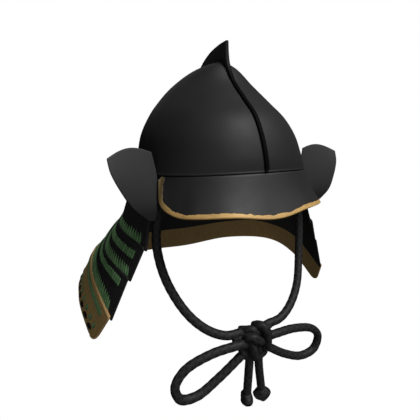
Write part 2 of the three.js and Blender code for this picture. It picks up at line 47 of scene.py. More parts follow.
def turned(azimuth, elevation):
    """The unit vector from the object towards a viewer at that azimuth and elevation, in degrees."""
    a, e = math.radians(azimuth), math.radians(elevation)
    return Vector((math.sin(a) * math.cos(e), -math.cos(a) * math.cos(e), math.sin(e)))


def add_camera(place, azimuth, elevation, field_of_view):
    back = turned(azimuth, elevation)
    right = Vector((math.cos(math.radians(azimuth)), math.sin(math.radians(azimuth)), 0))
    up = back.cross(right)
    data = bpy.data.cameras.new("camera")
    data.sensor_fit = "HORIZONTAL"
    data.angle = math.radians(field_of_view)
    data.clip_start = 0.01
    camera = bpy.data.objects.new("camera", data)
    camera.matrix_world = Matrix.Translation(place) @ Matrix((right, up, back)).transposed().to_4x4()
    bpy.context.scene.collection.objects.link(camera)
    bpy.context.scene.camera = camera


add_camera(Vector((-0.209, -0.389, 0.043)), azimuth=-26.1, elevation=14.3, field_of_view=70)

# ---------------- the part's tables

BOWL_WALL = 2.5
BOWL_PLAN_POWER = 2.25
BOWL_APEX_DEPTH = 6
BASE_DROP = 6
# z, half width, front, rear
BOWL_SECTIONS = [
    (138, 0, 0, 0),
    (128, 29.5, 12.5, 54),
    (108, 56, 29, 98),
    (84, 78, 57, 127),
    (64, 93, 81, 139),
    (42, 105.5, 96, 141),
    (18, 112.5, 106, 140),
    (0, 118, 110, 136),
]
BAND_WALL = 1.8
BAND_TOP = 0.945
BAND_BELOW = 12
BAND_LEAN = 1.5

RIDGE_WIDTH = 4
RIDGE_HEIGHT = 2.4
# y, z
FIN_FRONT = [(-30, 111), (-22, 123), (-16.5, 134), (-14, 146)]
FIN_EDGE = [(-13, 160), (10, 159), (38, 154), (64, 143), (90, 122), (106, 107)]

VISOR_WALL = 2.5
VISOR_SEAM = 1.2
VISOR_DISH = 1.5
# root x, then the lip's x, y, z
VISOR_RIBS = [
    (0, 0, -135, -47.8),
    (44, 50, -128, -42.8),
    (74, 86, -111, -43.8),
    (88, 101, -94, -45.3),
    (96, 110, -77, -42),
    (101, 114, -64, -35),
    (104, 112.5, -56, -22),
    (105.5, 110, -51, -9),
]

WING_WALL = 2.4
WING_ARCH = 7.5
WING_DISH = 4
# the edge by the bowl, then the free edge: x, y, z each
WING_ROWS = [
    (115, -42, 22, 165.5, -56, 17.5),
    (111, -45, 0, 163.5, -62, 3),
    (111, -51, -20, 156, -67, -15),
    (113, -60, -40, 144, -71, -36),
    (122, -67, -53, 128, -69, -52),
]

LAME_WALL = 2
LAME_LIFT = 2.9
LAME_OVERLAP = 4
LAME_SETBACK = 0.012
CORNER_SETBACK = 0.07
GUARD_REACH = math.radians(112)
# x, y, z from the nape to the open front, one list for each lame's lower edge
LAME_EDGES = [
    [(0, 141, -55), (63, 133, -56), (97, 103, -61), (146, 24, -81), (131, -55.5, -93)],
    [(0, 145, -94), (73, 139, -94), (123, 117, -94), (168, 30, -115), (151, -48.5, -131)],
    [(0, 144, -138), (85, 139, -135), (160, 127, -139), (186, 48, -148), (176, -41.5, -182)],
    [(0, 148, -176), (95, 144, -172), (189, 125, -184), (208, 66, -198), (198.5, -13, -228)],
]

CORD_RADIUS = 5.8
CHIN_ROUTE = [
    (91, -37, 6), (95, -39, -14), (101, -41, -28), (110.5, -44, -54), (114.5, -45.5, -92),
    (107.5, -57, -136), (88.8, -78, -175.5), (66.5, -91, -198), (43.5, -98, -209), (20, -99, -211.5),
    (4, -101, -216),
]
RIGHT_LOOP = [
    (-4, -107, -224), (-28, -110, -219.5), (-68, -105, -223), (-103, -103, -235), (-116.5, -105, -252),
    (-110.5, -107, -270.5), (-89, -108, -274), (-58, -106, -262), (-24, -106, -240), (-6, -105, -230),
]
LEFT_LOOP = [
    (4, -107, -223), (26, -110, -221), (62, -108, -225), (96, -108, -236), (110, -108, -253),
    (104, -108, -273), (80, -108, -277), (50, -107, -264), (22, -106, -244), (6, -105, -232),
]
RIGHT_TAIL = [(-11, -107, -230), (-13, -108, -262), (-14.5, -108, -301)]
LEFT_TAIL = [(2.5, -106, -231), (3.5, -107, -262), (9, -108, -304)]
KNOT_STRANDS = [
    [
        (-1, -99, -206.5), (0, -107, -201), (4, -112.5, -201), (8.5, -115.5, -208.5),
        (10.5, -115, -219.5), (11.5, -112, -231.5), (9, -103, -241),
    ],
    [
        (-15, -97, -216), (-18, -105, -216.5), (-18, -111.5, -211),
        (-13, -116, -210), (-5, -116, -217.5), (5, -110, -224),
    ],
    [(-12, -108, -217), (-12, -113.5, -222), (-11.5, -114.5, -230), (-9, -112, -240), (-7, -106, -249)],
    [
        (-23, -103, -229), (-21, -107, -237.5), (-11, -106, -247),
        (3, -106, -249), (11, -106, -246), (15, -103, -239),
    ],
]
# more turns that fill the knot behind the strands above
KNOT_FILLING = [
    [(-34, -99, -216), (-18, -102, -217), (-6, -104, -217), (8, -103, -214), (24, -99, -212)],
    [(-19, -93, -212), (-15, -101, -208), (-9, -106.5, -206), (-3.5, -108, -209), (4, -106, -218)],
    [(-20, -104, -226), (-8, -106, -232), (4, -106, -234), (13, -102, -226)],
    [(-16, -98, -220), (-8, -97, -232), (4, -97, -234), (10, -98, -222)],
]
# the knots that finish the hanging ends: down from the cord, half width, half depth; and each one's turn
TAIL_KNOT = [(0, 6, 6), (10, 12.5, 8), (21, 3, 7)]
TAIL_KNOT_TURNS = {"right": 75, "left": -20}

# ---------------- shape helpers


def table(rows):
    return np.array(rows, dtype=float)


def mirrored(rows, odd_columns):
    """Joins a half table, from its middle row outwards, to its mirror image."""
    rows = table(rows)
    other = rows[:0:-1].copy()
    other[:, odd_columns] *= -1
    return np.vstack([other, rows])


def smooth_row(rows, t):
    """Reads a table from t = 0 (its first row) to 1 (its last), smoothly in every column."""
    t = np.asarray(t, dtype=float)
    place = np.clip(t, 0, 1) * (len(rows) - 1)
    index = np.minimum(np.floor(place).astype(int), len(rows) - 2)
    part = (place - index)[..., None]

    def row(k):
        return rows[np.clip(index + k, 0, len(rows) - 1)]

    start, end, rise = (row(1) - row(-1)) / 2, (row(2) - row(0)) / 2, row(1) - row(0)
    return row(0) + part * (start + part * (3 * rise - 2 * start - end + part * (start + end - 2 * rise)))


def unit(vectors):
    length = np.linalg.norm(vectors, axis=-1, keepdims=True)
    return vectors / np.maximum(length, 1e-12)


def outward(surface, u, v):
    """The outward normal of surface(u, v), where u runs to the right and v down as seen from outside."""
    step = 2e-3
    across = surface(u + step, v) - surface(u - step, v)
    down = surface(u, v + step) - surface(u, v - step)
    return unit(np.cross(down, across))


def signed_power(value, power):
    return np.sign(value) * np.abs(value) ** power


def spline(points, step=1.0):
    """A smooth centripetal curve through the points, resampled to even steps of about `step`."""
    p = table(points)
    p = np.vstack([2 * p[0] - p[1], p, 2 * p[-1] - p[-2]])
    knots = np.concatenate([[0], np.cumsum(np.linalg.norm(np.diff(p, axis=0), axis=1) ** 0.5)])
    pieces = []
    for i in range(1, len(p) - 2):
        t = np.linspace(knots[i], knots[i + 1], 40, endpoint=False)[:, None]
        k0, k1, k2, k3 = knots[i - 1 : i + 3]
        a = (k1 - t) / (k1 - k0) * p[i - 1] + (t - k0) / (k1 - k0) * p[i]
        b = (k2 - t) / (k2 - k1) * p[i] + (t - k1) / (k2 - k1) * p[i + 1]
        c = (k3 - t) / (k3 - k2) * p[i + 1] + (t - k2) / (k3 - k2) * p[i + 2]
        d = (k2 - t) / (k2 - k0) * a + (t - k0) / (k2 - k0) * b
        e = (k3 - t) / (k3 - k1) * b + (t - k1) / (k3 - k1) * c
        pieces.append((k2 - t) / (k2 - k1) * d + (t - k1) / (k2 - k1) * e)
    dense = np.vstack(pieces + [p[-2:-1]])
    along = np.concatenate([[0], np.cumsum(np.linalg.norm(np.diff(dense, axis=0), axis=1))])
    count = max(int(round(along[-1] / step)), 4)
    even = np.linspace(0, along[-1], count + 1)
    return np.stack([np.interp(even, along, dense[:, k]) for k in range(3)], axis=1)


def length_of(points):
    return float(np.linalg.norm(np.diff(points, axis=0), axis=1).sum())


class Build:
    """Gathers points and faces, and turns them into one object."""

    def __init__(self):
        self.points, self.faces, self.slots, self.count = [], [], [], 0
        self.marks = {}

    def add(self, points, faces, slot=0, **marks):
        points = np.asarray(points, dtype=float).reshape(-1, 3)
        faces = np.asarray(faces)
        self.points.append(points)
        self.faces.extend((faces + self.count).tolist())
        self.slots.extend([slot] * len(faces))
        for name, values in marks.items():
            values = np.broadcast_to(np.asarray(values, dtype=float), points.shape[:1])
            self.marks.setdefault(name, []).append((self.count, values))
        self.count += len(points)

    def grid(self, points, wrap_u=False, wrap_v=False, slot=0, flip=False, **marks):
        """Quads over points[u, v]."""
        nu, nv = points.shape[:2]
        i, j = np.meshgrid(np.arange(nu - (not wrap_u)), np.arange(nv - (not wrap_v)), indexing="ij")
        i, j = i.ravel(), j.ravel()
        i2, j2 = (i + 1) % nu, (j + 1) % nv
        quads = np.stack([i * nv + j, i * nv + j2, i2 * nv + j2, i2 * nv + j], axis=1)
        if flip:
            quads = quads[:, ::-1]
        marks = {name: np.broadcast_to(value, (nu, nv)).ravel() for name, value in marks.items()}
        self.add(points, quads, slot, **marks)

    def fan(self, ring, centre, slot=0, flip=False, **marks):
        """Closes a ring of points with a fan to its centre."""
        n = len(ring)
        i = np.arange(n)
        triangles = np.stack([i, (i + 1) % n, np.full(n, n)], axis=1)
        if flip:
            triangles = triangles[:, ::-1]
        self.add(np.vstack([ring, [centre]]), triangles, slot, **marks)

    def object(self, name, materials, weld=0.0):
        mesh = bpy.data.meshes.new(name)
        points = np.vstack(self.points) * MM
        mesh.from_pydata(points.tolist(), [], self.faces)
        for mark, parts in self.marks.items():
            values = np.zeros(self.count, dtype=np.float32)
            for start, part in parts:
                values[start : start + len(part)] = part
            mesh.attributes.new(mark, "FLOAT", "POINT").data.foreach_set("value", values)
        for material in materials:
            mesh.materials.append(material)
        mesh.polygons.foreach_set("material_index", self.slots)
        mesh.polygons.foreach_set("use_smooth", [True] * len(mesh.polygons))
        piece = bpy.data.objects.new(name, mesh)
        bpy.context.scene.collection.objects.link(piece)
        if weld:
            add = piece.modifiers.new("weld", "WELD")
            add.merge_threshold = weld * MM
        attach(piece, "root")
        return piece


RIM_STEPS = 7  # points across a plate's rounded rim
RIM_BULGE = 0.6  # how far the rim stands out


def plate(build, surface, us, vs, thickness, slot_inside=0, **marks):
    """A plate with rounded edges whose outer face is surface(u, v)."""
    nu, nv = len(us), len(vs)
    u, v = np.meshgrid(us, vs, indexing="ij")
    outer, normals = surface(u, v), outward(surface, u, v)
    inner = outer - normals * thickness
    build.grid(outer, **marks)
    build.grid(inner, slot=slot_inside, flip=True, **marks)
    rim = [(i, 0) for i in range(nu)] + [(nu - 1, j) for j in range(1, nv)]
    rim += [(i, nv - 1) for i in range(nu - 2, -1, -1)] + [(0, j) for j in range(nv - 2, 0, -1)]
    i, j = np.array(rim).T
    top, bottom = outer[i, j], inner[i, j]
    tangent = unit(np.roll(top, -1, axis=0) - np.roll(top, 1, axis=0))
    side = unit(np.cross(normals[i, j], tangent))
    middle = outer.reshape(-1, 3).mean(axis=0)
    if ((top - middle) * side).sum() < 0:
        side = -side
    turns = np.linspace(0, np.pi, RIM_STEPS)
    bulge = np.sin(turns)[None, :, None] * side[:, None, :] * RIM_BULGE
    share = ((1 - np.cos(turns)) / 2)[None, :, None]
    strip = top[:, None, :] * (1 - share) + bottom[:, None, :] * share + bulge
    rim_marks = {}
    for name, value in marks.items():
        rim_marks[name] = np.broadcast_to(value, (nu, nv))[i, j][:, None] * np.ones((1, RIM_STEPS))
    build.grid(strip, wrap_u=True, flip=True, **rim_marks)


def tube(build, points, radius, sides, profile=None, **marks):
    """A closed tube along points: `profile(angle, along)` scales its radius, and its frame doesn't twist."""
    points = table(points)
    tangent = unit(np.gradient(points, axis=0))
    first = np.cross(tangent[0], [0, 0, 1.0])
    if np.linalg.norm(first) < 1e-3:
        first = np.cross(tangent[0], [0, 1.0, 0])
    side = [first / np.linalg.norm(first)]
    for t in tangent[1:]:
        s = side[-1] - t * (side[-1] @ t)
        side.append(s / np.linalg.norm(s))
    side = np.array(side)
    other = np.cross(tangent, side)
    angle = np.linspace(0, 2 * np.pi, sides, endpoint=False)
    along = np.concatenate([[0], np.cumsum(np.linalg.norm(np.diff(points, axis=0), axis=1))])
    angles, alongs = np.meshgrid(angle, along)
    scale = np.ones_like(angles) if profile is None else profile(angles, alongs)
    radii = np.broadcast_to(np.asarray(radius, dtype=float), along.shape)[:, None] * scale
    ring = np.cos(angles)[..., None] * side[:, None, :] + np.sin(angles)[..., None] * other[:, None, :]
    surface = points[:, None, :] + ring * radii[..., None]
    # crease is 1 in the braid's hollows, where the cord's finish paints shade
    relief = scale - scale.min()
    crease = np.zeros_like(scale) if profile is None else 1 - relief / max(np.ptp(scale), 1e-9)
    build.grid(surface, wrap_v=True, flip=True, crease=crease, **marks)
    for end, flip in ((0, False), (-1, True)):
        build.fan(surface[end], points[end], flip=flip, crease=0.3, **marks)


# ---------------- materials


class Finish:
    """A procedural material: a Principled shader and the nodes that feed it."""

    def __init__(self, name, **constants):
        self.material = bpy.data.materials.new(name)
        self.material.use_nodes = True
        self.tree = self.material.node_tree
        self.shader = self.tree.nodes["Principled BSDF"]
        self.place = self.add("ShaderNodeTexCoord").outputs["Object"]
        for socket, value in constants.items():
            self.shader.inputs[socket.replace("_", " ")].default_value = value

    def add(self, kind, inputs=None, **properties):
        node = self.tree.nodes.new(kind)
        for name, value in properties.items():
            setattr(node, name, value)
        for name, value in (inputs or {}).items():
            self.feed(node.inputs[name], value)
        return node

    def feed(self, socket, value):
        if isinstance(value, bpy.types.NodeSocket):
            self.tree.links.new(value, socket)
        else:
            socket.default_value = value

    def noise(self, scale, detail=3.0, roughness=0.5, stretch=None):
        place = self.place
        if stretch:
            place = self.add("ShaderNodeMapping", {"Vector": place, "Scale": stretch}).outputs["Vector"]
        inputs = {"Vector": place, "Scale": scale, "Detail": detail, "Roughness": roughness}
        return self.add("ShaderNodeTexNoise", inputs).outputs["Fac"]

    def mark(self, name):
        return self.add("ShaderNodeAttribute", attribute_name=name).outputs["Fac"]

    def span(self, value, low, high, to_low=0.0, to_high=1.0):
        inputs = {"Value": value, "From Min": low, "From Max": high, "To Min": to_low, "To Max": to_high}
        return self.add("ShaderNodeMapRange", inputs).outputs["Result"]

    def math(self, operation, *values):
        node = self.add("ShaderNodeMath", operation=operation)
        for socket, value in zip(node.inputs, values):
            self.feed(socket, value)
        return node.outputs["Value"]

    def mix(self, factor, first, second):
        node = self.add("ShaderNodeMix", data_type="RGBA")
        for index, value in ((0, factor), (6, first), (7, second)):
            self.feed(node.inputs[index], value)
        return node.outputs[2]

    def colour(self, socket):
        self.feed(self.shader.inputs["Base Color"], socket)

    def roughness(self, socket):
        self.feed(self.shader.inputs["Roughness"], socket)

    def bump(self, height, distance, strength):
        before = self.shader.inputs["Normal"].links
        inputs = {"Height": height, "Distance": distance, "Strength": strength}
        if before:
            inputs["Normal"] = before[0].from_socket
        node = self.add("ShaderNodeBump", inputs)
        self.feed(self.shader.inputs["Normal"], node.outputs["Normal"])


def rgb(red, green, blue):
    return (red, green, blue, 1.0)


def lacquer(name, dark, light, rough_low, rough_high, rubbed=None, **constants):
    """Urushi over metal: soft clouding, a faint orange-peel skin, and a paler colour painted where marked,
    which is painted light.
    """
    f = Finish(name, **constants)
    cloud = f.noise(scale=14, detail=4, roughness=0.6)
    base = f.mix(f.span(cloud, 0.3, 0.7), rgb(*dark), rgb(*light))
    # where marked, the colour is mixed towards a paler one: painted light
    if rubbed:
        base = f.mix(f.mark("rubbed"), base, rgb(*rubbed))
    f.colour(base)
    wear = f.noise(scale=45, detail=5, roughness=0.65)
    f.roughness(f.span(wear, 0.3, 0.7, rough_low, rough_high))
    f.bump(f.noise(scale=900, detail=2), distance=0.00012, strength=0.25)
    f.bump(f.noise(scale=35, detail=2), distance=0.0006, strength=0.25)
    return f.material


def gilded(name, dark, light, grain, aged=None, **constants):
    """Brushed gold lacquer: streaks, thin worn patches and a slight grain, with painted shade in the marked
    creases and, where marked, a darker painted shade.
    """
    f = Finish(name, **constants)
    streak = f.noise(scale=60, detail=4, roughness=0.6, stretch=grain)
    base = f.mix(f.span(streak, 0.3, 0.7), rgb(*dark), rgb(*light))
    worn = f.span(f.noise(scale=180, detail=5, roughness=0.7), 0.62, 0.74)
    brown = tuple(0.35 * channel for channel in dark)
    base = f.mix(f.math("MULTIPLY", worn, 0.6), base, rgb(*brown))
    # painted shade: the creases are mixed towards the darker brown
    groove = f.mark("crease")
    base = f.mix(f.math("MULTIPLY", groove, 0.55), base, rgb(*brown))
    f.colour(f.mix(f.mark("aged"), base, rgb(*aged)) if aged else base)
    f.roughness(f.span(streak, 0.3, 0.7, 0.42, 0.6))
    f.bump(streak, distance=0.0004, strength=0.35)
    f.bump(f.noise(scale=1100, detail=2), distance=0.00012, strength=0.3)
    return f.material


def braided(name, dark, light, thread, **constants):
    """Silk: painted shade in the creases between strands, with fine slanting threads."""
    f = Finish(name, **constants)
    tint = f.span(f.mark("tint"), 0, 1)
    base = f.mix(tint, rgb(*dark), rgb(*light))
    mottle = f.span(f.noise(scale=260, detail=4, roughness=0.7), 0.3, 0.7, 0.75, 1.2)
    base = f.add("ShaderNodeVectorMath", {0: base}, operation="SCALE")
    f.feed(base.inputs["Scale"], mottle)
    # painted shade: the creases are mixed towards a darker tone
    shade = tuple(0.3 * channel for channel in dark)
    f.colour(f.mix(f.math("MULTIPLY", f.mark("crease"), 0.8), base.outputs["Vector"], rgb(*shade)))
    slant = f.math("ADD", f.mark("along"), f.math("MULTIPLY", f.math("ABSOLUTE", f.mark("across")), 1.4))
    threads = f.math("SINE", f.math("MULTIPLY", slant, thread))
    f.bump(threads, distance=0.00022, strength=0.5)
    f.bump(f.noise(scale=1500, detail=3), distance=0.00015, strength=0.4)
    return f.material


# how the gold's streaks are stretched along X, Y and Z
ACROSS_EDGE = (1, 1, 5)
DOWN_LAME = (6, 6, 1)

BLACK = lacquer(
    "black_lacquer", (0.0145, 0.0145, 0.0147), (0.019, 0.019, 0.0192), 0.52, 0.6, Specular_IOR_Level=0.2,
)
VISOR_BLACK = lacquer(
    "visor_lacquer", (0.0142, 0.0142, 0.0144), (0.0182, 0.0182, 0.0184), 0.5, 0.58, Specular_IOR_Level=0.34,
)
# the wings are darker than the bowl and painted paler towards their tops: painted light and shade graded
# from top to bottom
WING_BLACK = lacquer(
    "wing_lacquer", (0.006, 0.006, 0.0061), (0.008, 0.008, 0.0081), 0.6, 0.7,
    rubbed=(0.042, 0.042, 0.0422), Specular_IOR_Level=0.15,
)
# where marked, the iron is painted paler: painted light on the fin
IRON = lacquer(
    "black_iron", (0.0016, 0.0016, 0.0016), (0.0026, 0.0026, 0.0026), 0.6, 0.7,
    rubbed=(0.022, 0.022, 0.0221), Specular_IOR_Level=0.04,
)
INSIDE = lacquer(
    "inner_lacquer", (0.022, 0.022, 0.0221), (0.03, 0.03, 0.0302), 0.6, 0.75, Specular_IOR_Level=0.06,
)
LAME_BLACK = braided(
    "laced_black", (0.018, 0.018, 0.018), (0.026, 0.026, 0.026), 3.0,
    Roughness=0.65, Specular_IOR_Level=0.08,
)
BORDER = lacquer(
    "border_lacquer", (0.012, 0.012, 0.012), (0.018, 0.018, 0.018), 0.45, 0.6, Specular_IOR_Level=0.2,
)
# the gilt darkens towards the visor's ends: a painted shade
GILT = gilded(
    "gilt_edge", (0.44, 0.275, 0.095), (0.57, 0.355, 0.125), ACROSS_EDGE,
    aged=(0.1, 0.07, 0.028), Metallic=0.15, Specular_IOR_Level=0.3,
)
LAME_GOLD = gilded(
    "gold_lame", (0.3, 0.2, 0.07), (0.4, 0.265, 0.1), DOWN_LAME, Metallic=0.1, Specular_IOR_Level=0.15,
)
GOLD_INSIDE = gilded(
    "gold_inside", (0.26, 0.17, 0.065), (0.34, 0.225, 0.09), DOWN_LAME,
    Metallic=0.05, Specular_IOR_Level=0.1,
)
GOLD_BORDER = gilded(
    "gold_border", (0.36, 0.225, 0.09), (0.5, 0.315, 0.135), ACROSS_EDGE,
    Metallic=0.15, Specular_IOR_Level=0.3,
)
GREEN = braided(
    "green_silk", (0.085, 0.19, 0.075), (0.13, 0.26, 0.11), 3.0,
    Roughness=0.75, Specular_IOR_Level=0.12, Sheen_Weight=0.05, Sheen_Roughness=0.5,
)
DARK_SILK = braided(
    "black_silk", (0.006, 0.006, 0.006), (0.01, 0.01, 0.01), 3.0,
    Roughness=0.7, Specular_IOR_Level=0.1, Sheen_Weight=0.02, Sheen_Roughness=0.5,
)
CORD = braided(
    "braided_cord", (0.018, 0.018, 0.0182), (0.026, 0.026, 0.0263), 2.2,
    Roughness=0.55, Specular_IOR_Level=0.2, Sheen_Weight=0.02, Sheen_Roughness=0.5,
)

# ---------------- cords


def braid(angle, along):
    """The relief of a round eight-strand braid, as a share of the cord's radius."""
    turn, pitch = 4, 11.0
    first = np.cos(turn * angle + 2 * np.pi * along / pitch)
    second = np.cos(turn * angle - 2 * np.pi * along / pitch)
    return 0.98 + 0.025 * np.maximum(first, second)


CORD_SIDES = 32
PATH_POINTS = 60  # about how many points of a cord's route its path keeps
PLAIN = {"tint": 0.5, "across": 0, "along": 0}  # the marks of silk that has no threads of its own


def add_cord(name, points, nodes, **facts):
    build = Build()
    tube(build, points, CORD_RADIUS, CORD_SIDES, profile=braid, **PLAIN)
    piece = build.object(name, [CORD])
    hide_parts(*nodes)
    path = points[:: max(len(points) // PATH_POINTS, 1)]
    path = np.vstack([path, points[-1:]]) * MM
    exit_point = facts.pop("exit", points[0] * MM)
    return piece


def flipped(route):
    return [(-x, y, z) for x, y, z in route]


def add_bow_knot():
    build = Build()
    for strand in KNOT_STRANDS + KNOT_FILLING:
        tube(build, spline(strand), CORD_RADIUS, sides=28, profile=braid, **PLAIN)
    piece = build.object("bow_knot_strands", [CORD])
    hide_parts("bow_knot")
    return piece


def add_end_knot(side, route):
    """A tightly woven knob at a cord's end: broad one way, thin the other, and drawn in towards its foot."""
    widest, foot = 10, 11.6  # from the cord's end down to the widest place, and from there to the foot
    outline = spline(TAIL_KNOT, 0.8)
    down = unit(table(route[-1]) - table(route[-2]))
    level = unit(np.cross(down, [0, 1.0, 0]))
    front = np.cross(level, down)
    turn = math.radians(TAIL_KNOT_TURNS[side])
    wide = level * math.cos(turn) + front * math.sin(turn)
    deep = np.cross(wide, down)
    angle = np.linspace(0, 2 * np.pi, 64, endpoint=False)
    angles, drops = np.meshgrid(angle, outline[:, 0])
    strands, twist = 3, 0.55
    one_way = np.cos(strands * angles + drops * twist)
    other_way = np.cos(strands * angles - drops * twist)
    weave = np.maximum(one_way, other_way)
    swell = 1 + 0.055 * weave
    close = np.sqrt(np.clip(1 - ((outline[:, 0] - widest) / foot) ** 4, 0, 1))[:, None]
    x = np.cos(angles) * outline[:, 1:2] * swell * close
    z = np.sin(angles) * outline[:, 2:3] * swell * close
    place = table(route[-1]) + drops[..., None] * down + x[..., None] * wide + z[..., None] * deep
    build = Build()
    # crease is 1 in the weave's hollows, where the cord's finish paints shade
    crease = (1 - weave) / 2
    build.grid(place, wrap_v=True, crease=crease, tint=0.5, across=0, along=drops)
    for end, flip in ((0, True), (-1, False)):
        build.fan(place[end], place[end].mean(axis=0), flip=flip, crease=0.5, tint=0.5, across=0, along=0)
    piece = build.object(f"end_knot_{side}", [CORD])
    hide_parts(f"tail_knot_{side}")
    return piece


bow_knot = add_bow_knot()
TAILS = {"right": RIGHT_TAIL, "left": LEFT_TAIL}
end_knots = {side: add_end_knot(side, route) for side, route in TAILS.items()}

add_cord(
    "chin_cord_braid_right", spline(flipped(CHIN_ROUTE)), ["chin_cord_right"],
    far_end="knot", lay="hanging", with_pieces=[bow_knot],
)
add_cord("chin_cord_braid_left", spline(CHIN_ROUTE), ["chin_cord_left"], far_end="knot", lay="hanging")
add_cord("bow_loop_braid_right", spline(RIGHT_LOOP), ["bow_loop_right"], far_end="object", lay="hanging")
add_cord("bow_loop_braid_left", spline(LEFT_LOOP), ["bow_loop_left"], far_end="object", lay="hanging")
for side, route in TAILS.items():
    add_cord(
        f"bow_tail_braid_{side}", spline(route), [f"bow_tail_{side}"],
        far_end="knot", lay="hanging", with_pieces=[end_knots[side]],
    )

# ---------------- the bowl

BOWL = table(BOWL_SECTIONS)


def bowl_point(angle, t):
    """The bowl's outer face: t from its point (0) to its lower edge (1), the angle from the brow to +X."""
    z, half_width, front, rear = np.moveaxis(smooth_row(BOWL, t), -1, 0)
    power = 2 / BOWL_PLAN_POWER
    fore = np.cos(angle)
    drop = BASE_DROP * np.maximum(t, 0) ** 3 * (1 - np.maximum(fore, 0) ** 2)
    x = half_width * signed_power(np.sin(angle), power)
    y = (rear - front) / 2 - (rear + front) / 2 * signed_power(fore, power)
    return np.stack([x, y, z - drop], axis=-1)


def bowl_shell_ring(angles, t, depth):
    t = np.full_like(angles, t)
    return bowl_point(angles, t) - outward(bowl_point, angles, t) * depth


def rim_point(angle, outwards, down):
    """The bowl's edge at an angle, moved level outwards and down."""
    angle = np.asarray(angle, dtype=float)
    one = np.ones_like(angle)
    along = bowl_point(angle + 1e-3, one) - bowl_point(angle - 1e-3, one)
    away = unit(np.stack([along[..., 1], -along[..., 0], np.zeros_like(angle)], axis=-1))
    return bowl_point(angle, one) + away * outwards - np.array([0, 0, down])


RING = np.linspace(-np.pi, np.pi, 240, endpoint=False)
LIP_START, LIP_RISE = 0.98, 0.3  # the rolled lip at the bowl's lower edge
BAND_GAP = 0.6  # between the bowl's wall and the base band
WELD = 0.01


def add_bowl():
    apex = BOWL[0, 0]
    outer = [bowl_shell_ring(RING, t, 0) for t in np.linspace(0.02, LIP_START, 90)]
    for turn in np.linspace(0, np.pi, 9)[1:]:
        t = LIP_START + (1 - LIP_START) * (1 - math.cos(turn)) / 2
        outer.append(bowl_shell_ring(RING, t, -LIP_RISE * math.sin(turn)))
    inner = [bowl_shell_ring(RING, t, BOWL_WALL) for t in np.linspace(1, 0.03, 60)]
    shell = Build()
    shell.grid(np.array(outer), wrap_v=True)
    shell.grid(np.array([outer[-1], inner[0]]), wrap_v=True, slot=1)
    shell.grid(np.array(inner), wrap_v=True, slot=1)
    shell.fan(outer[0], (0, 0, apex), flip=True)
    shell.fan(inner[-1], (0, 0, apex - BOWL_APEX_DEPTH), slot=1)
    bowl = shell.object("bowl_shell", [BLACK, INSIDE], weld=WELD)
    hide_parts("bowl")


def add_base_band():
    behind = BOWL_WALL + BAND_GAP
    upper, upper_in = (bowl_shell_ring(RING, BAND_TOP, behind + w) for w in (0, BAND_WALL))
    lower, lower_in = (rim_point(RING, -behind - w - BAND_LEAN, BAND_BELOW) for w in (0, BAND_WALL))
    band = Build()
    band.grid(np.array([upper, lower, lower_in, upper_in]), wrap_u=True, wrap_v=True)
    base_band = band.object("base_band_smooth", [INSIDE])
    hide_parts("base_band")


add_bowl()
add_base_band()


# The ridge is a thin plate that follows the bowl's profile and rises into the fin.
def profile_point(y):
    """The bowl's outline in the plane X = 0 at that y."""
    t = np.linspace(0.001, 1, 400)
    front, rear = (bowl_point(np.full_like(t, a), t) for a in (0.0, np.pi))
    side = front if y < 0 else rear
    order = np.argsort(side[:, 1])
    return np.array([y, np.interp(y, side[order, 1], side[order, 2])])


RIDGE_START = 0.975  # the ridge ends just short of the bowl's lower edge
RIDGE_GAP = 0.3  # its foot stands this far off the bowl's face
RIDGE_SPREAD = 0.7  # the soft fillet of lacquer at each side of its foot


def ridge_stations():
    """Pairs of a foot and a top, as (y, z), from the brow over the point to the nape."""
    t = np.linspace(RIDGE_START, 0.003, 90)
    front = bowl_point(np.zeros_like(t), t)[:, 1:]
    rear = bowl_point(np.full_like(t, np.pi), t[::-1])[:, 1:]
    outline = np.vstack([front, rear])
    along = np.gradient(outline, axis=0)
    normal = unit(np.stack([-along[:, 1], along[:, 0]], axis=1))
    foot, top = outline + normal * RIDGE_GAP, outline + normal * (RIDGE_GAP + RIDGE_HEIGHT)
    front_edge = spline(np.insert(table(FIN_FRONT + FIN_EDGE[:1]), 0, 0, axis=1), 2.0)[:, 1:]
    tip_to_nape = spline(np.insert(table(FIN_EDGE), 0, 0, axis=1), 2.0)[:, 1:]
    fin = np.vstack([front_edge, tip_to_nape[1:]])
    pairs = [(f, p) for f, p in zip(foot, top) if p[0] < fin[0, 0] - 0.5]
    # the ridge stands square to the bowl, and the fin stands upright on it
    ahead = np.interp(fin[:, 0], (FIN_FRONT[0][0], -18), (1.9, 0))
    pairs += [(profile_point(p[0] + a) + (0, RIDGE_GAP), p) for p, a in zip(fin, ahead)]
    pairs += [(f, p) for f, p in zip(foot, top) if p[0] > fin[-1, 0] + 0.5]
    return pairs


def add_ridge_and_fin():
    rows, heights = [], []
    half = RIDGE_WIDTH / 2 + RIDGE_SPREAD
    for foot, top in ridge_stations():
        height = max(np.linalg.norm(top - foot), 0.2)
        round_over = min(0.7, height * 0.3) / height
        thin = half * (1 - 0.35 * min(height / 40, 1))  # the fin thins towards its edge
        section = [(-half, 0), (-half, 0.3), (-thin, 1 - round_over)]
        section += [(-thin * 0.85, 1 - round_over * 0.3), (0, 1)]
        section += [(-x, h) for x, h in section[-2::-1]]
        rows.append([(x, *(foot + (top - foot) * h)) for x, h in section])
        heights.append(height)
    rows = np.array(rows)
    # the fin, where the plate stands over 4 mm tall, is painted paler: painted light on its shaded faces
    rubbed = np.clip((np.array(heights) - 4) / 6, 0, 1)[:, None]
    ridge = Build()
    ridge.grid(rows, wrap_v=True, rubbed=rubbed)
    ridge.fan(rows[0], rows[0].mean(axis=0), rubbed=0)
    ridge.fan(rows[-1], rows[-1].mean(axis=0), flip=True, rubbed=0)
    piece = ridge.object("ridge_and_fin", [IRON], weld=WELD)
    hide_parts("ridge_fin")


add_ridge_and_fin()

# ---------------- the visor

RIBS = mirrored(VISOR_RIBS, [0, 1])


def brim_angle(x):
    return np.arcsin(signed_power(x / BOWL[-1, 1], BOWL_PLAN_POWER / 2))


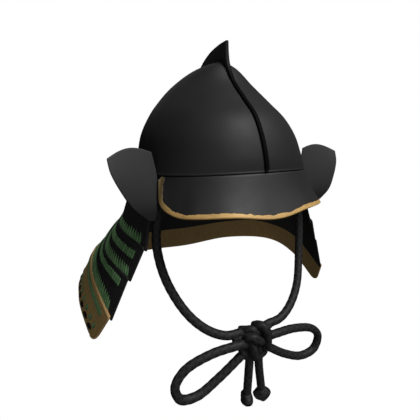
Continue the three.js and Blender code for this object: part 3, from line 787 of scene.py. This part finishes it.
def visor_point(u, v):
    """The visor's outer face: u from the wearer's right to the left, v from the bowl's edge to the lip."""
    row = smooth_row(RIBS, u)
    root = rim_point(brim_angle(row[..., 0]), 0, VISOR_SEAM)
    lip = row[..., 1:]
    length = np.linalg.norm(lip - root, axis=-1)
    hollow = VISOR_DISH * np.sin(np.pi * v) * np.minimum(length / 50, 1)
    inward = unit(np.stack([-lip[..., 0], -lip[..., 1], np.zeros_like(length)], axis=-1))
    return root + (lip - root) * np.asarray(v)[..., None] + inward * hollow[..., None]


def from_visor_edge(u, v):
    """How far a point of the visor is from its lip or its two end edges, in mm."""
    lip = visor_point(np.linspace(0, 1, 300), np.ones(300))
    ends = [visor_point(np.full(20, end), np.linspace(0, 1, 20)) for end in (0.0, 1.0)]
    edge = np.vstack([lip, *ends])
    return np.linalg.norm(visor_point(u, v)[..., None, :] - edge, axis=-1).min(axis=-1)


def add_visor():
    """The lacquered plate. It stops just short of the lip, where the gold rolls round."""
    build = Build()
    down_to_gilt = np.linspace(0, 0.985, 24)
    plate(build, visor_point, np.linspace(0, 1, 160), down_to_gilt, VISOR_WALL, slot_inside=1)
    visor = build.object("visor_plate", [VISOR_BLACK, INSIDE], weld=WELD)
    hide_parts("visor")


def ragged(u, count):
    """The gilt's inner boundary, in mm: hand-brushed, with fine teeth in places."""
    wobble = 0.5 * np.sin(2 * np.pi * (u * 5.3 + 0.1)) + 0.35 * np.sin(2 * np.pi * (u * 13.7 + 0.4))
    teeth = np.interp(u * count, np.arange(count + 1), rng.uniform(-1, 1, count + 1))
    where = 0.35 + 0.65 * np.clip(np.sin(2 * np.pi * (u * 2.6 + 0.05)) * 1.6, 0, 1)
    return wobble + 0.95 * teeth * where


def sideways(u):
    """0 at the brow and 1 at the visor's two ends."""
    return np.abs(2 * u - 1)


GILT_WIDTH_BROW, GILT_WIDTH_ENDS = 4.6, 5.8
GILT_SKIN = 0.3  # how far the gold stands off the plate
GILT_ROLL = 0.8  # how far it rolls out past the lip
GILT_TEETH = 150


def gilt_start(u):
    """Where the gold begins, down each rib: it follows the lip and runs up the visor's two ends."""
    spread = np.clip((sideways(u) - 0.5) / 0.2, 0, 1)
    width = GILT_WIDTH_BROW + (GILT_WIDTH_ENDS - GILT_WIDTH_BROW) * spread + ragged(u, GILT_TEETH)
    down = np.linspace(0.04, 1, 97)
    covered = from_visor_edge(*np.meshgrid(u, down, indexing="ij")) <= width[:, None]
    return down[np.argmax(covered, axis=1)]


def add_gilt():
    """The gold: a skin on the plate's face, a roll round its lip and a skin underneath."""
    u = np.linspace(0, 1, 460)
    start = gilt_start(u)[:, None]
    us, shares = np.meshgrid(u, np.linspace(0, 1, 7), indexing="ij")
    vs = start + (1 - start) * shares
    face, normal = visor_point(us, vs), outward(visor_point, us, np.minimum(vs, 0.97))
    outer = face + normal * (GILT_SKIN * np.minimum(1, shares * 8 + 0.15))[..., None]
    under = face[:, ::-1] - normal[:, ::-1] * (VISOR_WALL + GILT_SKIN)
    lip_out = unit(face[:, -1] - face[:, -2])
    turns = np.linspace(0, np.pi, 7)[1:-1, None]
    middle = (outer[:, -1] + under[:, 0])[:, None] / 2
    reach = (outer[:, -1] - under[:, 0])[:, None] / 2
    roll = middle + np.cos(turns) * reach + np.sin(turns) * lip_out[:, None] * GILT_ROLL
    loop = np.concatenate([outer, roll, under], axis=1)
    # the gold is darkened along its inner edge through the crease mark
    inner_edge_darkening = np.zeros(loop.shape[:2])
    inner_edge_darkening[:, 0] = 0.5
    # painted shade: the gold is darker towards the visor's two ends
    aged = np.clip((sideways(u) - 0.5) / 0.25, 0, 1)[:, None]
    build = Build()
    build.grid(loop, wrap_v=True, crease=inner_edge_darkening, aged=aged)
    for end, flip in ((0, False), (-1, True)):
        build.fan(loop[end], loop[end].mean(axis=0), flip=flip, crease=0, aged=1)
    gilt = build.object("visor_gilt", [GILT])
    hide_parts("visor_edge")


add_visor()
add_gilt()

# ---------------- the wings

WINGS = table(WING_ROWS)


def wing_point(u, v):
    row = smooth_row(WINGS, v)
    inner, outer = row[..., :3], row[..., 3:]
    middle = np.sin(np.pi * np.clip(u, 0, 1))
    point = inner + (outer - inner) * np.asarray(u)[..., None]
    point[..., 2] += WING_ARCH * middle * (1 - v) ** 3
    point[..., 1] += WING_DISH * middle * (1 - v)
    return point


def add_wing(name, side):
    """A wing: side is 1 on the wearer's left and -1 on the right. Its upper part is painted paler, a painted
    light that fades towards the bottom.
    """
    def surface(u, v):
        point = wing_point(u if side > 0 else 1 - u, v)
        point[..., 0] *= side
        return point

    build = Build()
    down = np.linspace(0, 1, 40)
    # painted light: strongest at the wing's top, gone 0.85 of the way down
    rubbed = np.clip(1 - down / 0.85, 0, 1)[None, :]
    plate(build, surface, np.linspace(0, 1, 40), down, WING_WALL, rubbed=rubbed)
    wing = build.object(f"wing_plate_{name}", [WING_BLACK], weld=WELD)
    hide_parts(f"wing_{name}")


add_wing("right", -1)
add_wing("left", 1)

# ---------------- the neck guard

EDGES = [mirrored(edge, [0]) for edge in LAME_EDGES]
LAME_COUNT = len(EDGES)


def guard_edge(level, u):
    """An edge between two lames: 0 is the bowl's rim, and u runs as in guard_point."""
    if level == 0:
        return rim_point(np.pi + (2 * u - 1) * GUARD_REACH, 0, VISOR_SEAM)
    return smooth_row(EDGES[level - 1], 1 - u)


def guard_point(u, v):
    """The guard's master face: u from the left front end round the nape to the right, v counts lames."""
    u, v = np.broadcast_arrays(np.asarray(u, dtype=float), np.asarray(v, dtype=float))
    level = np.clip(np.floor(v), 0, LAME_COUNT - 1)
    point = np.zeros(u.shape + (3,))
    for k in range(LAME_COUNT):
        here = (level == k)[..., None]
        part = (v - k)[..., None]
        point += here * (guard_edge(k, u) * (1 - part) + guard_edge(k + 1, u) * part)
    return point


def overlap_share(lame):
    """How far a lame runs up behind the one above, as a share of its own height."""
    if lame == 1:
        return 0.0
    zero = np.zeros(1)
    return LAME_OVERLAP / float(np.linalg.norm(guard_edge(lame - 2, zero) - guard_edge(lame - 1, zero)))


def end_setback(lame, v):
    """How far a lame's open ends stand back, as a share of its half length."""
    part = np.clip(v - (lame - 1), 0, 1)
    step = LAME_SETBACK * (1 - part) if lame > 1 else 0.0 * part
    turn = np.maximum(part - 0.6, 0) / 0.4
    corner = CORNER_SETBACK * (1 - np.sqrt(1 - turn * turn)) if lame == LAME_COUNT else 0.0 * part
    return step + corner


def lame_point(lame, across, v, lift=0.0):
    """A lame's outer face: `across` in -1..1 between its ends, v counts lames from the bowl."""
    across, v = np.broadcast_arrays(np.asarray(across, dtype=float), np.asarray(v, dtype=float))
    u = 0.5 + across * (1 - end_setback(lame, v)) / 2
    slope = LAME_LIFT * (lame - v) / (1 + overlap_share(lame)) if lame > 1 else 0.0 * v
    normal = outward(guard_point, u, np.full_like(v, lame - 0.5))
    return guard_point(u, v) + normal * (slope + lift)[..., None]


def hoop_length(lame):
    across = np.linspace(-1, 1, 200)
    return length_of(lame_point(lame, across, np.full_like(across, lame - 0.5)))


CORD_PITCH = 4.6
BORDER_LIFT = 0.6
RIB_COUNTS = {lame: int(round(hoop_length(lame) / CORD_PITCH)) for lame in range(1, LAME_COUNT + 1)}


def rib_relief(lame, across):
    """0 on a rib's crest and 1 in the groove between two ribs."""
    return 1 - np.abs(np.cos(np.pi * RIB_COUNTS[lame] * (across + 1) / 2 + np.pi / 2)) ** 0.7


def add_lame(lame, outer_finish, inner_finish, border_finish, rib_height):
    """One lame: a ribbed face, a plain back and a rim in the border's finish."""
    first, top = -overlap_share(lame), lame - 1
    across = np.linspace(-1, 1, RIB_COUNTS[lame] * 8 + 1)
    parts = [first, 0.0, 0.05, 0.08, 0.2, 0.35, 0.5, 0.62, 0.72, 0.8, 0.86, 0.91, 0.95, 0.98, 1.0]
    parts = np.array([p for p in parts if lame > 1 or p >= 0])
    a, part = np.meshgrid(across, parts, indexing="ij")
    v = top + part
    faded = np.clip((part - 0.05) / 0.03, 0, 1) * np.clip((1 - np.abs(a)) / 0.008, 0, 1)
    # crease is 0 on a rib's crest and 1 in a groove: painted shade in the finishes, and a fainter copy on
    # the plain back
    crease = rib_relief(lame, a) * faded
    outer = lame_point(lame, a, v, rib_height * (1 - crease) * faded)
    inner = lame_point(lame, a, v, np.full_like(v, -LAME_WALL))
    build = Build()
    marks = {"tint": 0.5, "across": 0.0, "along": part * 40}
    build.grid(outer, slot=0, crease=crease, flip=True, **marks)
    build.grid(inner, slot=1, crease=0.4 * rib_relief(lame, a), **marks)
    n, m = a.shape
    rim = [(i, 0) for i in range(n)] + [(n - 1, j) for j in range(1, m)]
    rim += [(i, m - 1) for i in range(n - 2, -1, -1)] + [(0, j) for j in range(m - 2, 0, -1)]
    i, j = np.array(rim).T
    build.grid(np.stack([outer[i, j], inner[i, j]], axis=1), wrap_u=True, slot=2, crease=0, **PLAIN)
    piece = build.object(f"lame_{lame}_plate", [outer_finish, inner_finish, border_finish], weld=WELD)
    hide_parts(f"lame_{lame}")


def add_border(lame, finish, radius):
    """The rolled edge along a lame's top and down its two open ends."""
    top = lame - 1 - overlap_share(lame) * 0.5
    down = np.linspace(lame - 0.01, top, 40)
    over = np.linspace(1, -1, 260)
    ends = np.ones_like(down)
    a = np.concatenate([ends, over[1:-1], -ends])
    v = np.concatenate([down, np.full(len(over) - 2, top), down[::-1]])
    path = lame_point(lame, a * 0.998, v, np.full_like(v, -LAME_WALL / 2 + BORDER_LIFT))
    build = Build()
    tube(build, path, radius, sides=12, **PLAIN)
    piece = build.object(f"lame_{lame}_border", [finish])


add_lame(1, LAME_BLACK, INSIDE, BORDER, 0.7)
add_lame(2, LAME_BLACK, INSIDE, BORDER, 0.7)
add_lame(3, LAME_BLACK, INSIDE, BORDER, 0.7)
add_lame(4, LAME_GOLD, GOLD_INSIDE, GOLD_BORDER, 0.5)
add_border(2, BORDER, 1.15)
add_border(3, BORDER, 1.15)
add_border(4, GOLD_BORDER, 1.2)

# ---------------- the lacing


def along_lame(rows, across):
    """Reads (distance from the nape, value) pairs: a band's edge drifts a little towards the front."""
    rows = table(rows)
    return np.interp(np.abs(across), rows[:, 0], rows[:, 1])


LACE_LIFT, LACE_HEIGHT = 0.35, 1.3
LACE_FILL = 0.97  # the share of its pitch that a cord fills
STRIPE_LIFT, STRIPE_HEIGHT = 0.4, 0.9
STUD_LIFT, STUD_HEIGHT = 0.3, 1.3


def add_laces(name, node, lame, top, bottom, reach, pointed, seed, lean=0.0):
    """A row of flat silk cords down a lame, between two edges given as shares of its height."""
    draws = np.random.default_rng(seed)
    count = RIB_COUNTS[lame]
    centres = (np.arange(count) + 0.5) / count * 2 - 1
    centres = centres[np.abs(centres) <= reach]
    n = len(centres)
    jitter_top = draws.uniform(-0.015, 0.015, n)
    jitter_bottom = draws.uniform(-0.008, 0.008, n)
    rows = np.linspace(0, 1, 14)
    cross = np.array([-1, -0.72, -0.38, 0, 0.38, 0.72, 1])
    if pointed:
        taper = np.clip(rows / 0.55, 0.04, 1) ** 0.8
        end = np.ones_like(rows)
    else:
        taper = np.sqrt(np.clip(1 - np.clip((0.06 - rows) / 0.06, 0, 0.99) ** 2, 0, 1))
        end = np.sqrt(np.clip(1 - np.clip((rows - 0.8) / 0.2, 0, 0.985) ** 2, 0, 1))
    width = taper * end
    pitch = 2 / count
    c, r, x = np.meshgrid(np.arange(n), np.arange(len(rows)), np.arange(len(cross)), indexing="ij")
    part_top = along_lame(top, centres)[c] + jitter_top[c]
    part_bottom = along_lame(bottom, centres)[c] + jitter_bottom[c]
    v = lame - 1 + part_top + (part_bottom - part_top) * rows[r]
    a = centres[c] * (1 + lean * rows[r]) + cross[x] * pitch * 0.5 * LACE_FILL * width[r]
    dome = np.sqrt(np.clip(1 - cross[x] ** 2, 0, 1)) ** 0.8
    lift = LACE_LIFT + LACE_HEIGHT * dome * np.minimum(width[r] * 1.3, 1)
    points = lame_point(lame, np.clip(a, -1, 1), v, lift)
    span = hoop_length(lame) / 2
    build = Build()
    tints = draws.uniform(0, 1, n)
    for k in range(n):
        # crease grows towards each cord's edges: painted shade where it meets the lame
        marks = {
            "crease": (1 - dome[k]) ** 1.5,
            "tint": np.full(dome[k].shape, tints[k]),
            "across": cross[x[k]] * pitch * 0.5 * span,
            "along": rows[r[k]] * 20,
        }
        build.grid(points[k], wrap_v=True, flip=True, **marks)
        for edge, flip in ((0, False), (-1, True)):
            middle = points[k, edge].mean(axis=0)
            build.fan(points[k, edge], middle, flip=flip, crease=0.6, tint=tints[k], across=0, along=0)
    piece = build.object(name, [GREEN])
    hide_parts(node)


LOWEST = [(0, 0.955)]
add_laces("lacing_1", "lace_1", 1, [(0, 0.79)], [(0, 0.975)], 0.945, True, seed=11)
add_laces("lacing_2_upper", "lace_2_upper", 2, [(0, 0.165)], [(0, 0.42)], 0.952, False, seed=12)
add_laces(
    "lacing_2_lower", "lace_2_lower", 2, [(0.85, 0.575), (0.9, 0.595), (0.945, 0.625)], LOWEST,
    0.95, True, lean=0.02, seed=13,
)
add_laces(
    "lacing_3_upper", "lace_3_upper", 3, [(0.78, 0.01), (0.95, 0.055)], [(0.78, 0.245), (0.95, 0.27)],
    0.955, False, seed=14,
)
add_laces(
    "lacing_3_lower", "lace_3_lower", 3, [(0.78, 0.5), (0.85, 0.565), (0.9, 0.59), (0.945, 0.69)], LOWEST,
    0.95, True, lean=0.01, seed=15,
)


def add_stripe(name, node, lame, top, bottom, reach):
    """A flat woven band laid along a lame, with rounded ends."""
    end = 0.012
    across = np.linspace(-reach, reach, 420)
    cross = np.linspace(-1, 1, 9)
    a, x = np.meshgrid(across, cross, indexing="ij")
    round_end = np.sqrt(np.clip(1 - np.clip((np.abs(a) - reach + end) / end, 0, 0.99) ** 2, 0, 1))
    top, bottom = along_lame(top, a), along_lame(bottom, a)
    v = lame - 1 + (top + bottom) / 2 + (bottom - top) / 2 * x * round_end
    dome = np.sqrt(np.clip(1 - x ** 2, 0, 1)) ** 0.6
    points = lame_point(lame, a, v, STRIPE_LIFT + STRIPE_HEIGHT * dome)
    # crease grows towards the band's edges: painted shade where it meets the lame
    marks = {"crease": (1 - dome) ** 1.5, "tint": 0.1, "across": x * 3, "along": a * hoop_length(lame) / 2}
    build = Build()
    build.grid(points, wrap_v=True, flip=True, **marks)
    for edge, flip in ((0, False), (-1, True)):
        middle = points[edge].mean(axis=0)
        build.fan(points[edge], middle, flip=flip, crease=0.5, tint=0.1, across=0, along=0)
    piece = build.object(name, [GREEN])
    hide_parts(node)


add_stripe("lacing_4", "lace_4", 4, [(0.75, 0.065), (0.93, 0.1)], [(0.75, 0.215), (0.93, 0.275)], 0.947)


def add_studs(name, finish, lame, part, first, spacing, width, height, lean=0.0):
    """A row of small oval knots of cord along a lame, from `first` on each side to the nape."""
    span = hoop_length(lame) / 2
    build = Build()
    half = np.arange(first, spacing / span / 2, -spacing / span)
    centres = np.concatenate([-half, half[::-1]])
    ring = np.linspace(0, 2 * np.pi, 20, endpoint=False)
    shares = np.array([1.0, 0.93, 0.78, 0.55, 0.28])
    lame_height = np.linalg.norm(guard_edge(lame, np.full(1, 0.5)) - guard_edge(lame - 1, np.full(1, 0.5)))
    for centre in centres:
        angle, share = np.meshgrid(ring, shares, indexing="ij")
        pinch = 1 - 0.25 * np.abs(np.sin(angle)) ** 3
        sideways_shift = np.sin(angle) * height * lean * np.sign(centre)
        a = centre + share * (np.cos(angle) * width * pinch + sideways_shift) / 2 / span
        v = lame - 1 + part + np.sin(angle) * share * height / 2 / lame_height
        lift = STUD_LIFT + STUD_HEIGHT * np.sqrt(1 - share ** 2 * 0.999)
        points = lame_point(lame, a, v, lift)
        threads = {"across": np.cos(angle) * share * 3, "along": np.sin(angle) * share * 5}
        # crease is strongest round each knot's foot: painted shade
        build.grid(points, wrap_u=True, crease=share ** 4, tint=0.4, **threads)
        crown = np.full(1, STUD_LIFT + STUD_HEIGHT)
        top = lame_point(lame, np.full(1, centre), np.full(1, lame - 1 + part), crown)[0]
        build.fan(points[:, -1], top, flip=True, crease=0, tint=0.4, across=0, along=0)
        build.fan(points[:, 0], points[:, 0].mean(axis=0), crease=1, tint=0.4, across=0, along=0)
    piece = build.object(name, [finish])


add_studs("knots_green", GREEN, 4, 0.655, 0.938, 14.4, 7.0, 8.0)
add_studs("knots_black", DARK_SILK, 4, 0.86, 0.93, 18.0, 12.5, 6.5, lean=0.5)

for node in ("cord_anchor_right", "cord_anchor_left"):
    for material_slot in bpy.data.objects[node].material_slots:
        material_slot.material = IRON

# ---------------- floor, backdrop and light

FLOOR_LEVEL = -0.9
STAGE_RADIUS = 20
STAGE_SIDES = 96
LIGHTS_AIM = Vector((0, 0, -0.03))


def add_stage():
    """A pale floor and backdrop that meet far away. Only the camera sees them, so they cast no light."""
    n = STAGE_SIDES
    ring = [2 * math.pi * i / n for i in range(n)]
    rim = [(STAGE_RADIUS * math.cos(a), STAGE_RADIUS * math.sin(a), FLOOR_LEVEL) for a in ring]
    top = [(x, y, STAGE_RADIUS) for x, y, _ in rim]
    low = [(x, y, -STAGE_RADIUS) for x, y, _ in rim]
    walls = [(i, (i + 1) % n, n + (i + 1) % n, n + i) for i in range(n)]
    shapes = {
        "floor": (rim, [tuple(range(n))]),
        "backdrop": (low + top, walls + [tuple(range(n, 2 * n)), tuple(range(n - 1, -1, -1))]),
    }
    for name, (points, faces) in shapes.items():
        finish = Finish(f"pale_{name}", Roughness=1.0, Specular_IOR_Level=0.0)
        finish.shader.inputs["Base Color"].default_value = rgb(0, 0, 0)
        finish.shader.inputs["Emission Color"].default_value = rgb(1, 1, 1)
        finish.shader.inputs["Emission Strength"].default_value = 1.0
        mesh = bpy.data.meshes.new(name)
        mesh.from_pydata(points, [], faces)
        mesh.materials.append(finish.material)
        piece = bpy.data.objects.new(name, mesh)
        bpy.context.scene.collection.objects.link(piece)
        piece.visible_diffuse = False
        piece.visible_glossy = False
        piece.visible_transmission = False
        piece.visible_shadow = False


def add_light(name, azimuth, elevation, distance, size, watts):
    data = bpy.data.lights.new(name, "AREA")
    data.size = size
    data.energy = watts
    lamp = bpy.data.objects.new(name, data)
    away = turned(azimuth, elevation)
    lamp.location = LIGHTS_AIM + away * distance
    lamp.rotation_euler = away.to_track_quat("Z", "Y").to_euler()
    bpy.context.scene.collection.objects.link(lamp)


add_stage()
add_light("key", azimuth=31, elevation=55, distance=2.2, size=0.9, watts=48)
add_light("side_fill", azimuth=-50, elevation=5, distance=2.5, size=1.6, watts=5)
add_light("front_fill", azimuth=0, elevation=-16, distance=2.5, size=1.6, watts=4.8)
add_light("right_fill", azimuth=110, elevation=15, distance=2.5, size=1.8, watts=1)
add_light("back_fill", azimuth=170, elevation=35, distance=2.5, size=1.8, watts=3)

world = bpy.data.worlds.new("studio")
world.use_nodes = True
background = world.node_tree.nodes["Background"]
background.inputs["Color"].default_value = rgb(1, 1, 1)
background.inputs["Strength"].default_value = 0.15
world.cycles_visibility.glossy = False
bpy.context.scene.world = world
bpy.context.scene.view_settings.view_transform = "Standard"
